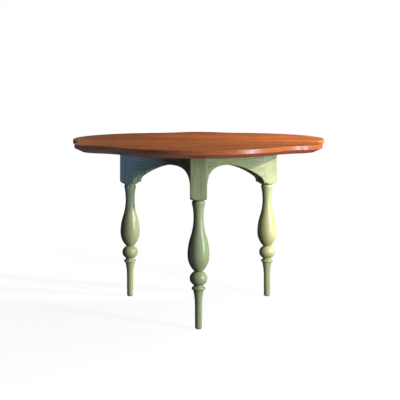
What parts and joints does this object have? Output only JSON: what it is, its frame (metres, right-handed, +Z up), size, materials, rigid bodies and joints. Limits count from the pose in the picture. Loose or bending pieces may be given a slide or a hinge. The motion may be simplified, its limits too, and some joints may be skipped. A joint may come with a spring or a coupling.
{
  "type": "dining table",
  "caption": "Dining table with a lobed, bevelled wooden top on turned legs joined by concave arched aprons.",
  "frame": {"origin": "on the floor, on the axis that the three legs share; the lobed outline puts the middle of the bounding box 6 mm from it along Y", "axes": "+Z up; -Y towards the front leg; X along the grain of the top boards, left to right as seen from the front"},
  "size_m": [1.1664, 1.204, 0.76],
  "materials": {
    "top_wood": "red-brown stained hardwood under clear gloss lacquer",
    "base_paint": "sage-green satin paint brushed over wood",
    "block_wood": "planed, unfinished softwood",
    "dowel_wood": "plain beech",
    "screw_steel": "zinc-plated",
    "fastener_steel": "zinc-plated pressed steel",
    "glide_nylon": "brown nylon",
    "nail_steel": "bright steel"
  },
  "bodies": {
    "root": {"leg_front": "base_paint", "leg_right": "base_paint", "leg_left": "base_paint", "apron_front_left": "base_paint", "apron_front_right": "base_paint", "apron_back": "base_paint", "corner_block_front": "block_wood", "corner_block_right": "block_wood", "corner_block_left": "block_wood", "top_board_1": "top_wood", "top_board_2": "top_wood", "top_board_3": "top_wood", "top_board_4": "top_wood", "top_board_5": "top_wood", "top_board_6": "top_wood", "top_board_7": "top_wood", "top_board_8": "top_wood", "board_dowels": "dowel_wood", "corner_block_screws": "screw_steel", "fastener_apron_screws": "screw_steel", "fastener_top_screws": "screw_steel", "top_fasteners": "fastener_steel", "foot_glide_front": "glide_nylon", "foot_glide_right": "glide_nylon", "foot_glide_left": "glide_nylon", "glide_nails": "nail_steel"}
  },
  "joints": []
}
